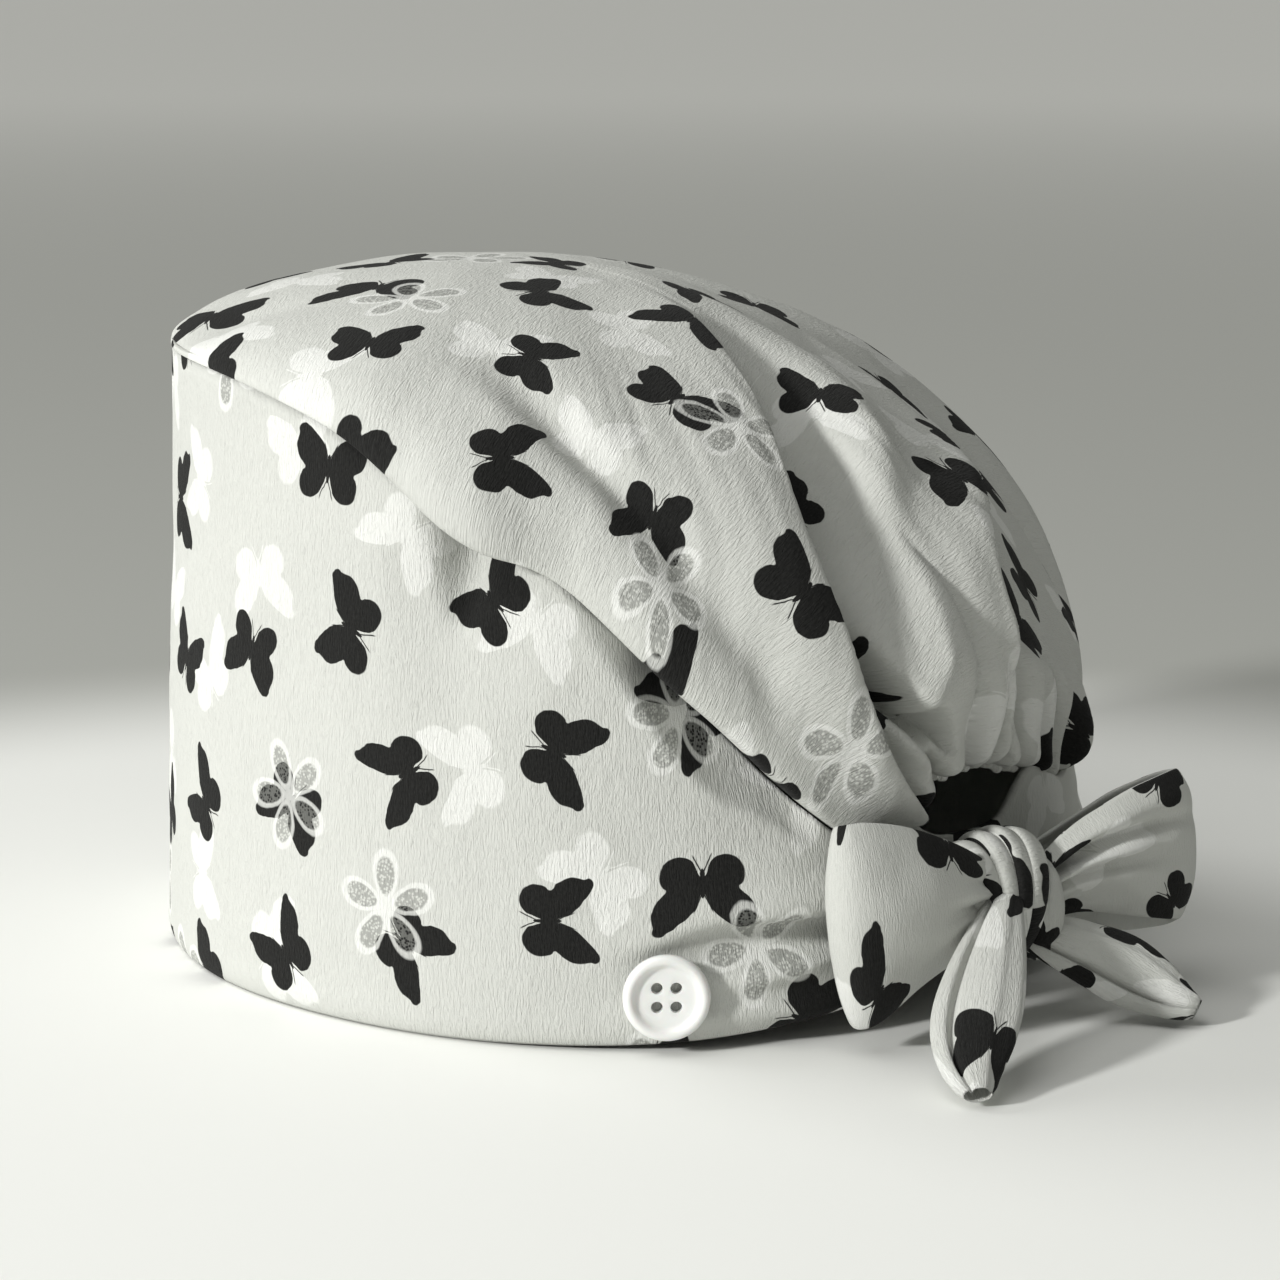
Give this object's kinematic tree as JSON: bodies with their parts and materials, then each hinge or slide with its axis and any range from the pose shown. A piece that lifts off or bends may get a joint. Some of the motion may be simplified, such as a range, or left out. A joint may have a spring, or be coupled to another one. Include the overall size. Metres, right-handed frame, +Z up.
{
  "type": "scrub cap",
  "caption": "Soft printed cotton scrub cap with a tall band, a slouched crown gathered over a ponytail opening, a bow tied at the back and side buttons for mask loops.",
  "frame": {"origin": "centre of the head opening, on the surface that the cap stands on", "axes": "+Z up, the wearer's front towards -Y, the wearer's left towards +X"},
  "size_m": [0.1816, 0.2326, 0.1406],
  "materials": {
    "cloth": "matte",
    "button": "satin"
  },
  "bodies": {
    "root": {"band": "cloth", "crown": "cloth", "elastic_casing": "cloth", "knot": "cloth", "loop_near": "cloth", "loop_far": "cloth", "tail_near": "cloth", "tail_far": "cloth", "button_near": "button", "button_far": "button"}
  },
  "joints": []
}
